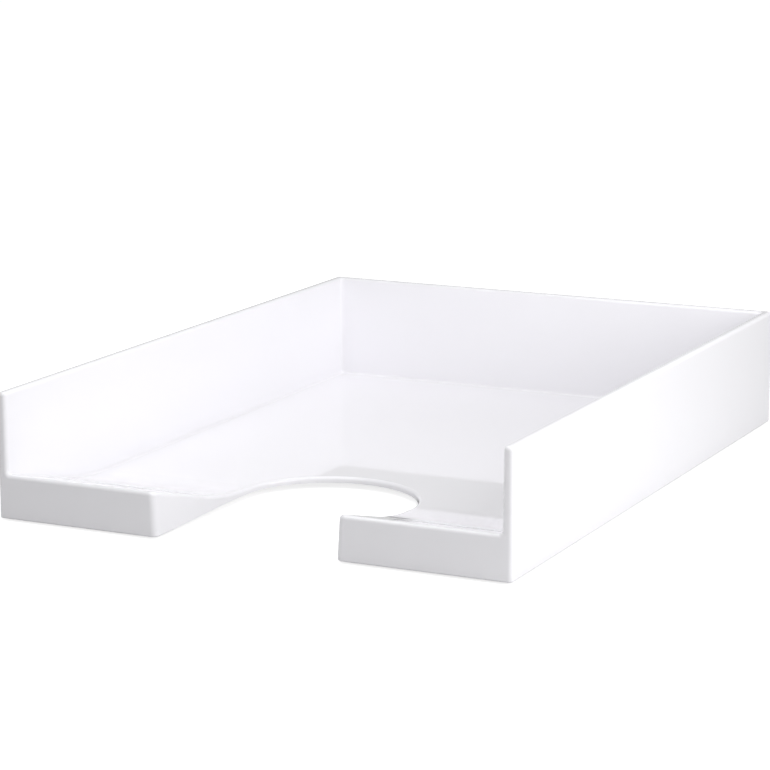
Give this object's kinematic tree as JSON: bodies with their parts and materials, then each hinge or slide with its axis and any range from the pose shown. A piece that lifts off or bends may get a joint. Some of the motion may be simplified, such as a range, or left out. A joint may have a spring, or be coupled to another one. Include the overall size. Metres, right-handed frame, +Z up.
{
  "type": "letter tray",
  "caption": "Open-fronted letter tray with straight walls, a low front lip with a ramp behind it and a U-shaped finger cut-out; stands on thin rubber feet.",
  "frame": {"origin": "on the surface that the tray stands on, below the middle of its footprint", "axes": "+X to the right-hand side seen from the front, +Y to the back wall, +Z up"},
  "size_m": [0.255, 0.348, 0.06],
  "materials": {
    "tray_plastic": "high-gloss white polystyrene",
    "foot_rubber": "translucent light grey soft rubber, matt",
    "foot_adhesive": "thin white foam adhesive"
  },
  "bodies": {
    "root": {"tray_body": "tray_plastic", "foot_front_left": "foot_rubber", "adhesive_front_left": "foot_adhesive", "foot_front_right": "foot_rubber", "adhesive_front_right": "foot_adhesive", "foot_rear_left": "foot_rubber", "adhesive_rear_left": "foot_adhesive", "foot_rear_right": "foot_rubber", "adhesive_rear_right": "foot_adhesive"}
  },
  "joints": []
}
